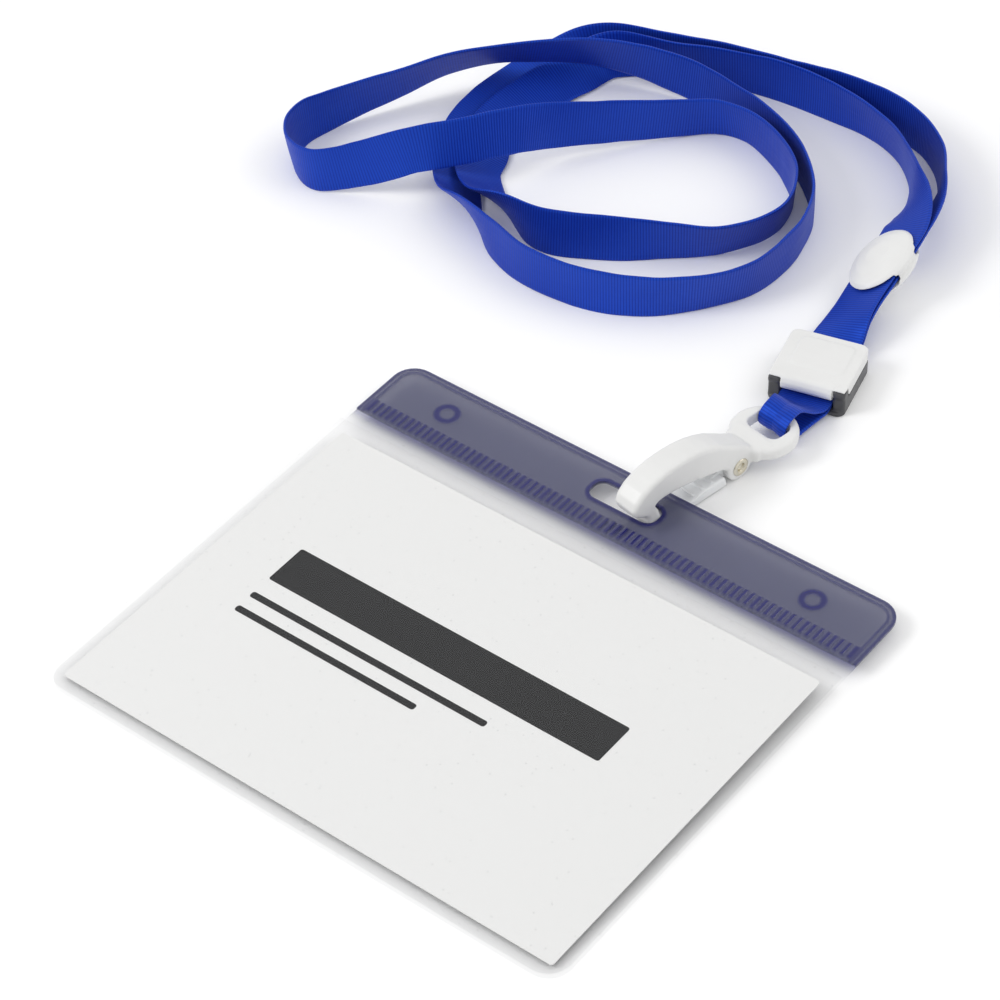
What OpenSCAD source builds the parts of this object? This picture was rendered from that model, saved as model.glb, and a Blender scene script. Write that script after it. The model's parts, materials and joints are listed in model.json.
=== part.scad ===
// Neck lanyard with a clear card holder, as it lies on a table. Millimetres, +Z up, table at z = 0.
// The holder's width runs along X. The strap side of the object is +Y.

/* [Card holder] */
// Width of the holder
holder_w = 110; // [108:1:114]
// Height of the holder, band included
holder_h = 99; // [96:1:104]
// Radius of the holder's corners
corner_r = 4.5; // [2:0.5:6]
// Thickness of each vinyl sheet
sheet_t = 0.35; // [0.3:0.05:0.35]
// Height of the blue band
band_h = 15.4; // [14:0.1:17]
// Bare height of the back sheet between the pocket's mouth and the band
mouth_gap = 4.4; // [3:0.1:6]
// Width of the welded border round the pocket
weld_w = 2.2; // [1.5:0.1:2.3]
// Height of the holder's top edge above the table
band_rise = 2.42; // [2.4:0.02:2.6]
// Length of the punched slot
slot_l = 14.5; // [14:0.5:16]
// Height of the punched slot
slot_h = 4.8; // [4.8:0.1:5.2]

/* [Card] */
// Width of the insert card
card_w = 105; // [100:1:105]
// Height of the insert card
card_h = 74; // [70:1:75]
// Thickness of the insert card
card_t = 0.3; // [0.2:0.05:0.35]

/* [Spring hook] */
// Thickness of the hook's body
hook_t = 5.6; // [5.4:0.1:6]
// Thickness of the nose that passes through the slot
nose_t = 3.4; // [3:0.1:3.4]
// Width across the eye
eye_w = 13; // [12.6:0.2:13.4]
// Thickness of the eye
eye_t = 2.7; // [2.4:0.1:2.7]
// Shank diameter of the tubular rivet
rivet_d = 2.4; // [2.2:0.1:2.5]

/* [Strap] */
// Width of the woven strap
strap_w = 10; // [9:0.5:10]
// Thickness of the woven strap
strap_t = 0.6; // [0.5:0.05:0.6]

/* [Clamp] */
// Width of the strap clamp
clamp_w = 15; // [14.6:0.2:16]
// Length of the strap clamp
clamp_l = 14.7; // [14.4:0.1:15]
// Height of the clamp's closed lid
clamp_h = 5.9; // [5.9:0.1:6.4]

/* [Slider] */
// Length of the oval slider along the strap
slider_l = 16.8; // [15:0.2:17]
// Width of the oval slider
slider_w = 12.6; // [12.6:0.2:13.4]
// Thickness of the oval slider
slider_t = 6.4; // [6:0.1:6.6]

/* [Hidden] */
$fn = 48;
eps = 0.01;
royal = "royalblue";

// Card holder, in its own plane: y = 0 is its bottom edge
top_y = 9;                                  // where the holder's top edge lies
tilt = asin(band_rise / holder_h);          // it rests on its bottom edge and on the hook's nose
band_y = holder_h - band_h;                 // lower edge of the blue band
mouth_y = band_y - mouth_gap;               // upper edge of the front sheet
slot_y = holder_h - 6.6;                    // middle of the slot
slot_r = 2;                                 // corner radius of the slot
panel_z = 1.2;                              // underside of the front sheet's raised panel
card_z = 2 * sheet_t + 0.1;                 // underside of the card, above the band's face

// Spring hook: u runs from the nose to the eye, v is up
hook_at = [4.7, 2.4];                       // where u = 0 meets the slot
hook_turn = 80;                             // direction of u
rivet_uv = [20.5, 2.9];
eye_u = 29.1;                               // middle of the eye's outer circle
eye_v = 4;                                  // middle of the eye's thickness
hole_u = 30.35;                             // middle of the eye's hole
hole_size = [5.3, 7.6];
hole_r = 1.5;
pocket_w = 2.6;                             // room between the cheeks for the gate's hub and the spring
pocket_r = 2.8;
hub_w = 1.4;
hub_side = -0.5;                            // the hub sits to one side, the spring to the other
spring_wire = 0.4;
spring_r = 1.62;
arch = [[24, 5.3], [22.6, 6.6], [20.5, 7.8], [18.2, 9.3], [16, 10.7], [13.5, 11.8], [11, 12.6], [8, 13.1],
    [5, 13.2], [2, 13], [-1, 12.3], [-3.4, 11.1], [-5, 9.6], [-5.6, 8], [-5, 6.4], [-3.6, 5.4], [-2.3, 4.8],
    [-1.8, 4], [-1.6, 2.4], [-0.9, 0.9], [0.3, 0.1], [1.2, 0], [7, 0], [7.2, 0.5], [7.2, 1.6], [3, 1.6],
    [2, 2], [1.5, 3], [1, 4.4], [0.3, 5.6], [-0.1, 6.4], [0.6, 7], [2.4, 7.1], [4.5, 6.9], [6.5, 6.6],
    [9, 6.1], [12, 5.4], [14.5, 4.9], [16.5, 4.2], [17.6, 3.4], [20.5, 0.6], [23, 1], [24, 2.7]];
nose_top = 4.9;                             // the body is full thickness above this
tab = [[7.5, 0.3], [17.5, 0.3], [16.7, 1.3], [17, 2.2], [16.4, 2.7], [12, 2.7], [7.5, 1.9]];
shank = [[14, 0.8], [17.5, 1.3], [20.5, 0.8], [20.5, 5], [17.6, 3.7], [14, 2.7]];

// Strap clamp: x across the strap, y towards the neck
clamp_at = [7.6, 51.6];
clamp_turn = 14.5;
clamp_wall = 1.3;
clamp_floor = 0.8;
barrel_r = 1.6;
barrel_y = -5.6;
barrel_z = clamp_h - barrel_r;
knuckle_l = 2.4;
lid_z = 3.3;                                // underside of the closed lid
pin_d = 1.6;
tooth_h = 0.65;

// Oval slider on the straight run of the strap
slider_at = [2.2, 81.5, 6.3];
slider_turn = 7;                            // of the strap's run from +Y towards -X
slider_pitch = 11;
slider_roll = -25;
slider_slot = [10.8, 2.6];

// Route of the neck strap: x, y, z of its middle, then the lean of its width from upright in degrees.
// It starts in the clamp, runs through the slider, lies in two loose coils and comes back the same way.
neck_route = [
    [7.5, 51.8, 2.15, 90], [5.4, 60, 2.3, 90], [3.7, 67.9, 4, 65], [2.3, 79.1, 6.2, 65],
    [0.9, 90.3, 8.4, 65], [-2, 97.5, 8.1, 44], [-6.2, 104.3, 6.6, 12], [-11, 110.5, 5.5, -4],
    [-18, 116, 5.1, -10], [-26.5, 119, 5, -10], [-37, 120, 5, 0], [-48, 119.5, 5, 0], [-59, 117, 5, -5],
    [-70.5, 112.5, 5.05, -8], [-81, 107, 4.9, 20], [-85.2, 98.7, 3.3, 55], [-87.4, 89.8, 2.6, 66],
    [-88, 81.2, 2.6, 66], [-87, 74.2, 2.6, 66], [-84.2, 68.3, 2.5, 67], [-81.5, 62.5, 2.5, 66],
    [-74.5, 57, 3.3, 55], [-66, 53.5, 5, 15], [-57, 53, 5, -8], [-45.5, 58.5, 5, -8],
    [-36, 64.5, 5.05, 8], [-27.8, 70.8, 4.9, 20], [-22.8, 81.5, 4.95, 18], [-25.5, 91.8, 5, 5],
    [-32, 98, 5, 0], [-39.8, 102, 5, -5], [-46.3, 103.3, 5, -12], [-52, 101.8, 5, -10],
    [-58.5, 95.5, 5.4, -5], [-72.3, 79.5, 7.6, 8], [-77.2, 69.3, 10.2, 14], [-82.5, 59.7, 11, 14],
    [-89.2, 52.3, 10.4, 12], [-97.5, 46.3, 7, 8], [-105.5, 41, 5.1, 0], [-112, 42, 5.05, -8],
    [-116.2, 46.5, 5.05, -10], [-117.3, 52, 5.05, -8], [-116, 57.5, 5, 0], [-113, 63.5, 5.8, 10],
    [-108, 71.5, 7.4, 20], [-102.5, 79.3, 9.6, 30], [-96, 86.2, 10.7, 34], [-89.3, 92.8, 10.6, 30],
    [-83, 99.3, 9.6, 25], [-77, 103.8, 8.2, 18], [-70.5, 106.7, 6.9, 8], [-62, 108.5, 5.7, 0],
    [-52, 108, 5, 0], [-41.2, 105.5, 5, 0], [-30.2, 100.2, 5, 0], [-20.8, 91.4, 5, 0],
    [-16.6, 82, 5, -5], [-15.5, 73.5, 5, -5], [-16.5, 64.5, 5.05, -10], [-20.8, 56.8, 5.05, -12],
    [-27.5, 49.8, 5, -5], [-35, 45.3, 5, 0], [-44, 42.7, 5, 0], [-54, 42.3, 5, 0], [-63.5, 44.8, 5, 0],
    [-71.5, 48.6, 4.85, -22], [-79.8, 54.5, 3.05, -60], [-87, 62.8, 2.5, -67], [-91.4, 72.5, 2.5, -67],
    [-92.8, 81.8, 2.5, -67], [-92.4, 90.8, 2.5, -67], [-90.3, 100, 3.1, -58], [-84.8, 108, 4.85, -22],
    [-73, 114.2, 5, 2], [-60, 118.8, 5, 6], [-47, 121.5, 5, 5], [-36, 123.5, 5, 0],
    [-24.5, 123.8, 5, -3], [-14.3, 121, 5, 0], [-6.8, 115.3, 5.1, -3], [-2, 107.5, 5.9, -10],
    [0.4, 98.7, 7.1, -42], [1.3, 90.3, 7.6, -65], [2.7, 79.1, 5.4, -65], [4.1, 67.9, 3.2, -65],
    [5.4, 60, 1.4, -90], [7.5, 51.8, 1.3, -90]];

// Points of the short loop: x, y, z of its middle, its width, and the turn of its width from +X.
// It starts under the lid, goes down through the eye round its far arc, and comes back.
loop_route = [[7.7, 51.4, 1.3, 10, 14.5], [9.5, 44.3, 1.3, 10, 14.5], [9.8, 42.2, 1.3, 9, 8],
    [10.1, 39, 1.2, 7.2, -4], [10.3, 36.2, 1.4, 6.8, -10], [10.1, 34.6, 2, 6.8, -10],
    [9.9, 33.7, 3.2, 6.8, -10], [9.9, 33.7, 4.8, 6.8, -10], [10.1, 34.6, 6, 6.8, -10],
    [10.3, 36.2, 6.6, 6.8, -10], [10.1, 38.4, 6, 7.2, -6], [9.8, 41.4, 3.2, 8.6, 6],
    [9.5, 44.3, 2.15, 10, 14.5], [7.7, 51.4, 2.15, 10, 14.5]];

// ---- Shapes that several parts use ----

function unit(v) = v / norm(v);

// The middle line's direction at point i
function along(path, i) =
    unit(path[min(i + 1, len(path) - 1)] - path[max(i - 1, 0)]);

// The direction of the strap's width: upright turned by the lean about the strap's run
function across(dir, lean) =
    let (side = unit(cross(dir, [0, 0, 1])), up = cross(side, dir))
    cos(lean) * up + sin(lean) * side;

// A flat strap swept along its middle line: a section of eight corners at every point
module ribbon(path, widths, across_dirs, thick) {
    corners = [[-1, -0.4], [-0.92, -1], [0.92, -1], [1, -0.4], [1, 0.4], [0.92, 1], [-0.92, 1], [-1, 0.4]];
    k = len(corners);
    last = len(path) - 1;
    points = [
        for (i = [0:last])
            let (w = across_dirs[i], n = unit(cross(along(path, i), w)))
            for (c = corners)
                path[i] + c[0] * widths[i] / 2 * w + c[1] * thick / 2 * n
    ];
    sides = [
        for (i = [0:last - 1], j = [0:k - 1])
            let (a = i * k + j, b = i * k + (j + 1) % k)
            each [[a, a + k, b], [b, a + k, b + k]]
    ];
    start_cap = [for (j = [0:k - 1]) j];
    end_cap = [for (j = [k - 1:-1:0]) last * k + j];
    polyhedron(points, concat(sides, [start_cap, end_cap]), convexity = 10);
}

module rounded_plate(size, r, h) {
    linear_extrude(h)
        rounded_outline(size, r);
}

// A rectangle with arcs at its corners, its middle at the origin
module rounded_outline(size, r) {
    square([size[0] - 2 * r, size[1]], center = true);
    square([size[0], size[1] - 2 * r], center = true);
    for (sx = [-1, 1], sy = [-1, 1])
        translate([sx * (size[0] / 2 - r), sy * (size[1] / 2 - r)])
            circle(r);
}

// ---- Card holder ----

module on_holder() {
    translate([0, top_y, band_rise])
        rotate([tilt, 0, 0])
            translate([0, -holder_h, 0])
                children();
}

// The part of the holder's outline between two heights
module holder_part(from_y, to_y) {
    intersection() {
        translate([0, holder_h / 2])
            rounded_outline([holder_w, holder_h], corner_r);
        translate([-holder_w / 2, from_y])
            square([holder_w, to_y - from_y]);
    }
}

module slot_cut() {
    translate([0, slot_y, -1])
        rounded_plate([slot_l, slot_h], slot_r, 3);
}

module back_sheet() {
    color("white", 0.35)
        on_holder()
            linear_extrude(sheet_t)
                holder_part(0, band_y);
}

module band_back() {
    color("slategray")
        on_holder()
            difference() {
                linear_extrude(sheet_t)
                    holder_part(band_y, holder_h);
                slot_cut();
            }
}

module band_front() {
    color("slategray")
        on_holder()
            difference() {
                translate([0, 0, sheet_t])
                    linear_extrude(sheet_t)
                        holder_part(band_y, holder_h);
                slot_cut();
            }
}

// The front sheet stands off the back over the card and lies on it along the welded border
module front_sheet() {
    panel = [holder_w - 2 * weld_w, mouth_y - weld_w];
    color("white", 0.35)
        on_holder()
            difference() {
                union() {
                    translate([0, 0, sheet_t])
                        linear_extrude(sheet_t)
                            holder_part(0, mouth_y);
                    translate([-panel[0] / 2, weld_w, sheet_t])
                        cube([panel[0], panel[1], panel_z]);
                }
                translate([-panel[0] / 2 + sheet_t / 2, weld_w + sheet_t / 2, sheet_t - eps])
                    cube([panel[0] - sheet_t, panel[1], panel_z - sheet_t + eps]);
            }
}

module insert_card() {
    color("whitesmoke")
        on_holder()
            translate([-card_w / 2, weld_w + 0.5, card_z])
                cube([card_w, card_h, card_t]);
}

// ---- Spring hook ----

module on_hook() {
    translate([hook_at[0], hook_at[1], 0])
        rotate([0, 0, hook_turn])
            children();
}

// Extrudes an outline drawn in u and v, centred at y across the hook
module upright(width, y = 0) {
    translate([0, y + width / 2, 0])
        rotate([90, 0, 0])
            linear_extrude(width)
                children();
}

module at_rivet(width, y = 0) {
    translate([rivet_uv[0], y + width / 2, rivet_uv[1]])
        rotate([90, 0, 0])
            linear_extrude(width)
                children();
}

module hook_body() {
    color("white")
        on_hook()
            difference() {
                union() {
                    upright(nose_t)
                        polygon(arch);
                    intersection() {
                        upright(hook_t)
                            polygon(arch);
                        union() {
                            translate([-10, -10, nose_top])
                                cube([40, 20, 20]);
                            translate([10, -10, 0])
                                cube([20, 20, 20]);
                        }
                    }
                    at_rivet(hook_t)
                        circle(rivet_uv[1]);
                    eye();
                }
                translate([0, 0, -eps])
                    hub_pocket();
                at_rivet(hook_t + 1)
                    circle(d = rivet_d);
                translate([hole_u, 0, 0])
                    rounded_plate(hole_size, hole_r, 10);
            }
}

module eye() {
    translate([0, 0, eye_v - eye_t / 2]) {
        translate([eye_u, 0, 0])
            cylinder(d = eye_w, h = eye_t);
        translate([rivet_uv[0] + 1, -eye_w / 3, 0])
            cube([5, 2 * eye_w / 3, eye_t]);
    }
}

// Room between the cheeks for the gate's hub, its shank and the spring
module hub_pocket() {
    at_rivet(pocket_w)
        circle(pocket_r);
    translate([13, -pocket_w / 2, -1])
        cube([rivet_uv[0] - 13, pocket_w, rivet_uv[1] + pocket_r]);
}

module hook_gate() {
    color("white")
        on_hook()
            difference() {
                union() {
                    upright(hook_t - 0.2)
                        polygon(tab);
                    upright(hub_w, hub_side)
                        polygon(shank);
                    at_rivet(hub_w, hub_side)
                        circle(2.1);
                }
                at_rivet(10)
                    circle(d = rivet_d + 0.1);
            }
}

// A tubular rivet with a rolled flange on each cheek
module gate_rivet() {
    flange_t = 0.3;
    color("silver")
        on_hook()
            difference() {
                union() {
                    at_rivet(hook_t)
                        circle(d = rivet_d);
                    for (side = [-1, 1])
                        at_rivet(flange_t, side * (hook_t + flange_t) / 2)
                            circle(d = rivet_d + 1.2);
                }
                at_rivet(hook_t + 2)
                    circle(d = rivet_d - 0.8);
            }
}

// Two turns of wire beside the hub: one end is bent into the hub, the other stands up in the pocket
module gate_spring() {
    first = 0.6;
    color("gray")
        on_hook() {
            for (turn = [0, 1])
                translate([rivet_uv[0], first + turn * 0.36, rivet_uv[1]])
                    rotate([90, 0, 0])
                        rotate_extrude()
                            translate([spring_r, 0])
                                circle(d = spring_wire, $fn = 16);
            translate([rivet_uv[0] + spring_r, first, rivet_uv[1]])
                rotate([90, 0, 0])
                    cylinder(d = spring_wire, h = 0.6, $fn = 16);
            translate([rivet_uv[0], first + 0.36, rivet_uv[1] + spring_r])
                cylinder(d = spring_wire, h = 0.9, $fn = 16);
        }
}

// ---- Strap clamp ----

module on_clamp() {
    translate([clamp_at[0], clamp_at[1], 0])
        rotate([0, 0, clamp_turn])
            children();
}

// A round bar across the clamp at the lid's hinge, from x = from to x = to
module hinge_bar(from, to, d) {
    translate([from, barrel_y, barrel_z])
        rotate([0, 90, 0])
            cylinder(d = d, h = to - from);
}

module clamp_base() {
    wall_h = lid_z - 0.1;
    half = clamp_w / 2;
    color("dimgray")
        on_clamp()
            difference() {
                union() {
                    rounded_plate([clamp_w, clamp_l], 1.2, clamp_floor);
                    for (side = [-1, 1]) {
                        translate([side * (half - clamp_wall / 2), 0, wall_h / 2])
                            cube([clamp_wall, clamp_l - 3, wall_h], center = true);
                        translate([side * (half - knuckle_l / 2), barrel_y, barrel_z / 2])
                            cube([knuckle_l, 2 * barrel_r, barrel_z], center = true);
                    }
                    hinge_bar(-half, -half + knuckle_l, 2 * barrel_r);
                    hinge_bar(half - knuckle_l, half, 2 * barrel_r);
                }
                translate([-strap_w / 2 - 0.3, -clamp_l / 2 - 1, clamp_floor])
                    cube([strap_w + 0.6, clamp_l + 2, 1.8]);
                hinge_bar(-half + 0.6, half - 0.6, pin_d + 0.1);
            }
}

module clamp_lid() {
    half = clamp_w / 2;
    inner = half - knuckle_l - 0.1;
    plate_y = barrel_y + barrel_r + 0.3;
    plate_l = clamp_l / 2 - plate_y;
    color("white")
        on_clamp() {
            hinge_bar(-inner, inner, 2 * barrel_r);
            hinge_bar(-half + 0.8, half - 0.8, pin_d);
            translate([0, plate_y + plate_l / 2, lid_z])
                rounded_plate([clamp_w, plate_l], 1.2, clamp_h - lid_z);
            translate([-inner, barrel_y, lid_z + 0.6])
                cube([2 * inner, 4, clamp_h - lid_z - 0.6]);
            for (i = [0:3])
                translate([-strap_w / 2, 2 * i - 2, lid_z - tooth_h])
                    cube([strap_w, 0.8, tooth_h + eps]);
        }
}

// ---- Slider and strap ----

module on_slider() {
    translate(slider_at)
        rotate([0, 0, slider_turn])
            rotate([slider_pitch, 0, 0])
                rotate([0, slider_roll, 0])
                    children();
}

module oval_slider() {
    edge_t = slider_t - 2.4;
    color("white")
        on_slider()
            difference() {
                hull() {
                    translate([0, 0, -edge_t / 2])
                        linear_extrude(edge_t)
                            scale([slider_w, slider_l])
                                circle(d = 1);
                    translate([0, 0, -slider_t / 2])
                        linear_extrude(slider_t)
                            scale([slider_w - 4, slider_l - 4])
                                circle(d = 1);
                }
                cube([slider_slot[0], slider_l + 2, slider_slot[1]], center = true);
            }
}

module neck_strap() {
    path = [for (p = neck_route) [p[0], p[1], p[2]]];
    widths = [for (p = neck_route) strap_w];
    dirs = [for (i = [0:len(path) - 1]) across(along(path, i), neck_route[i][3])];
    color(royal)
        ribbon(path, widths, dirs, strap_t);
}

module hook_loop() {
    path = [for (p = loop_route) [p[0], p[1], p[2]]];
    widths = [for (p = loop_route) min(p[3], strap_w)];
    dirs = [for (p = loop_route) [cos(p[4]), sin(p[4]), 0]];
    color(royal)
        ribbon(path, widths, dirs, strap_t);
}

neck_strap();
hook_loop();
oval_slider();
clamp_base();
clamp_lid();
hook_body();
hook_gate();
gate_rivet();
gate_spring();
back_sheet();
front_sheet();
band_back();
band_front();
insert_card();
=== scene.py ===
import json
import math

import bmesh
import bpy
import numpy as np
from mathutils import Matrix, Vector, noise


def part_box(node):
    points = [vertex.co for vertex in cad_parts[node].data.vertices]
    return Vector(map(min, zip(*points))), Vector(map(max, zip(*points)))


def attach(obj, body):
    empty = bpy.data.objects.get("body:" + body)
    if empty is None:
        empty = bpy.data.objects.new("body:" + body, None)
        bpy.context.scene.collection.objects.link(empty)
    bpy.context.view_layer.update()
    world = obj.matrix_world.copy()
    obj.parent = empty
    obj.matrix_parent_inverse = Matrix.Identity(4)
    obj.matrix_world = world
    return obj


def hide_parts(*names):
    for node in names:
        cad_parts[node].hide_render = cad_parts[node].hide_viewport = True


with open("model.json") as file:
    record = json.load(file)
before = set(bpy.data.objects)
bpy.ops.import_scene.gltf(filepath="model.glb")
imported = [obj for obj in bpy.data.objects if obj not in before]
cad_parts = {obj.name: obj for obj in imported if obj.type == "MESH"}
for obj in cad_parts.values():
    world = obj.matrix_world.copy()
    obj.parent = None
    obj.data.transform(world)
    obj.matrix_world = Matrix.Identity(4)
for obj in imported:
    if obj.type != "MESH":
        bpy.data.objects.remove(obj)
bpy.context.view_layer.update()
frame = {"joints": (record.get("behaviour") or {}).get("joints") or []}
MM = 0.001
joints = {joint["name"]: joint for joint in frame["joints"]}

# ---- Camera -------------------------------------------------------------------------------------------
# A long lens a little over half a metre away, looking down across the holder's near corner.
azimuth = math.radians(39.71)
elevation = math.radians(43.19)
roll = math.radians(-2.18)
distance = 0.605
looks_at = Vector((-0.0203, -0.0080, 0))

level = math.cos(elevation)
back = Vector((math.sin(azimuth) * level, -math.cos(azimuth) * level, math.sin(elevation)))
right = Vector((0, 0, 1)).cross(back).normalized()
up = back.cross(right)
rolled_right = math.cos(roll) * right + math.sin(roll) * up
rolled_up = math.cos(roll) * up - math.sin(roll) * right

lens = bpy.data.cameras.new("camera")
lens.lens = 121.5
lens.sensor_width = 36
lens.clip_start = 0.05
camera = bpy.data.objects.new("camera", lens)
camera.matrix_world = (
    Matrix.Translation(looks_at + back * distance)
    @ Matrix((rolled_right, rolled_up, back)).transposed().to_4x4()
)
bpy.context.scene.collection.objects.link(camera)
bpy.context.scene.camera = camera

# ---- Neck strap ---------------------------------------------------------------------------------------
# A flat polyester ribbon with fine ribs across it, woven royal blue. It leaves the clamp, passes through
# the oval slider, lies in two loose coils on the table and comes back the same way, on itself.
strap_width = 10 * MM
strap_thickness = 0.6 * MM
rib_pitch = 0.56 * MM
rib_height = 0.022 * MM
# Stations of the ribbon's middle line, in metres, and the lean of its width from upright, in degrees
neck_route = [
    (0.0075, 0.0518, 0.00215, 90), (0.0054, 0.06, 0.0023, 90), (0.0037, 0.0679, 0.004, 65),
    (0.0023, 0.0791, 0.0062, 65), (0.0009, 0.0903, 0.0084, 65), (-0.002, 0.0975, 0.0081, 44),
    (-0.0062, 0.1043, 0.0066, 12), (-0.011, 0.1105, 0.0055, -4), (-0.018, 0.116, 0.0051, -10),
    (-0.0265, 0.119, 0.005, -10), (-0.037, 0.12, 0.005, 0), (-0.048, 0.1195, 0.005, 0),
    (-0.059, 0.117, 0.005, -5), (-0.0705, 0.1125, 0.00505, -8), (-0.081, 0.107, 0.0049, 20),
    (-0.0852, 0.0987, 0.0033, 55), (-0.0874, 0.0898, 0.0026, 66), (-0.088, 0.0812, 0.0026, 66),
    (-0.087, 0.0742, 0.0026, 66), (-0.0842, 0.0683, 0.0025, 67), (-0.0815, 0.0625, 0.0025, 66),
    (-0.0745, 0.057, 0.0033, 55), (-0.066, 0.0535, 0.005, 15), (-0.057, 0.053, 0.005, -8),
    (-0.0455, 0.0585, 0.005, -8), (-0.036, 0.0645, 0.00505, 8), (-0.0278, 0.0708, 0.0049, 20),
    (-0.0228, 0.0815, 0.00495, 18), (-0.0255, 0.0918, 0.005, 5), (-0.032, 0.098, 0.005, 0),
    (-0.0398, 0.102, 0.005, -5), (-0.0463, 0.1033, 0.005, -12), (-0.052, 0.1018, 0.005, -10),
    (-0.0585, 0.0955, 0.0054, -5), (-0.0723, 0.0795, 0.0076, 8), (-0.0772, 0.0693, 0.0102, 14),
    (-0.0825, 0.0597, 0.011, 14), (-0.0892, 0.0523, 0.0104, 12), (-0.0975, 0.0463, 0.007, 8),
    (-0.1055, 0.041, 0.0051, 0), (-0.112, 0.042, 0.00505, -8), (-0.1162, 0.0465, 0.00505, -10),
    (-0.1173, 0.052, 0.00505, -8), (-0.116, 0.0575, 0.005, 0), (-0.113, 0.0635, 0.0058, 10),
    (-0.108, 0.0715, 0.0074, 20), (-0.1025, 0.0793, 0.0096, 30), (-0.096, 0.0862, 0.0107, 34),
    (-0.0893, 0.0928, 0.0106, 30), (-0.083, 0.0993, 0.0096, 25), (-0.077, 0.1038, 0.0082, 18),
    (-0.0705, 0.1067, 0.0069, 8), (-0.062, 0.1085, 0.0057, 0), (-0.052, 0.108, 0.005, 0),
    (-0.0412, 0.1055, 0.005, 0), (-0.0302, 0.1002, 0.005, 0), (-0.0208, 0.0914, 0.005, 0),
    (-0.0166, 0.082, 0.005, -5), (-0.0155, 0.0735, 0.005, -5), (-0.0165, 0.0645, 0.00505, -10),
    (-0.0208, 0.0568, 0.00505, -12), (-0.0275, 0.0498, 0.005, -5), (-0.035, 0.0453, 0.005, 0),
    (-0.044, 0.0427, 0.005, 0), (-0.054, 0.0423, 0.005, 0), (-0.0635, 0.0448, 0.005, 0),
    (-0.0715, 0.0486, 0.00485, -22), (-0.0798, 0.0545, 0.00305, -60), (-0.087, 0.0628, 0.0025, -67),
    (-0.0914, 0.0725, 0.0025, -67), (-0.0928, 0.0818, 0.0025, -67), (-0.0924, 0.0908, 0.0025, -67),
    (-0.0903, 0.1, 0.0031, -58), (-0.0848, 0.108, 0.00485, -22), (-0.073, 0.1142, 0.005, 2),
    (-0.06, 0.1188, 0.005, 6), (-0.047, 0.1215, 0.005, 5), (-0.036, 0.1235, 0.005, 0),
    (-0.0245, 0.1238, 0.005, -3), (-0.0143, 0.121, 0.005, 0), (-0.0068, 0.1153, 0.0051, -3),
    (-0.002, 0.1075, 0.0059, -10), (0.0004, 0.0987, 0.0071, -42), (0.0013, 0.0903, 0.0076, -65),
    (0.0027, 0.0791, 0.0054, -65), (0.0041, 0.0679, 0.0032, -65), (0.0054, 0.06, 0.0014, -90),
    (0.0075, 0.0518, 0.0013, -90),
]

# Half a section of the ribbon, as shares of its half width and of its half thickness
section_top = [(-1, 0), (-0.985, 0.7), (-0.9, 1), (-0.45, 1), (0, 1), (0.45, 1), (0.9, 1), (0.985, 0.7)]
ribbon_section = section_top + [(-across, -out) for across, out in section_top]


def smooth_line(stations, step):
    """The smooth line through the stations, in even steps. Every column is carried along."""
    rows = np.array(stations, float)
    rows = np.vstack([rows[:1], rows, rows[-1:]])
    t = np.linspace(0, 1, 40, endpoint=False)[:, None]
    spans = []
    for a, b, c, d in zip(rows, rows[1:], rows[2:], rows[3:]):
        square = 2 * a - 5 * b + 4 * c - d
        cube = 3 * b - a - 3 * c + d
        spans.append(b + 0.5 * t * ((c - a) + t * (square + t * cube)))
    fine = np.vstack(spans + [rows[-1:]])
    lengths = np.linalg.norm(np.diff(fine[:, :3], axis=0), axis=1)
    travelled = np.concatenate([[0], np.cumsum(lengths)])
    at = np.linspace(0, travelled[-1], round(travelled[-1] / step) + 1)
    return at, np.column_stack([np.interp(at, travelled, column) for column in fine.T])


def directions(line):
    ahead = np.gradient(line, axis=0)
    return ahead / np.linalg.norm(ahead, axis=1)[:, None]


def wander(distance_along, wave_length, lane):
    """A slow, even noise between about -1 and 1 along the ribbon."""
    return noise.noise(Vector((distance_along / wave_length, lane, 0.5)))


def new_piece(name, bm, place=Matrix()):
    """Makes an object of a bmesh, its faces outwards and its place in its mesh."""
    bmesh.ops.recalc_face_normals(bm, faces=bm.faces)
    mesh = bpy.data.meshes.new(name)
    bm.to_mesh(mesh)
    bm.free()
    mesh.transform(place)
    piece = bpy.data.objects.new(name, mesh)
    bpy.context.scene.collection.objects.link(piece)
    return piece


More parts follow.
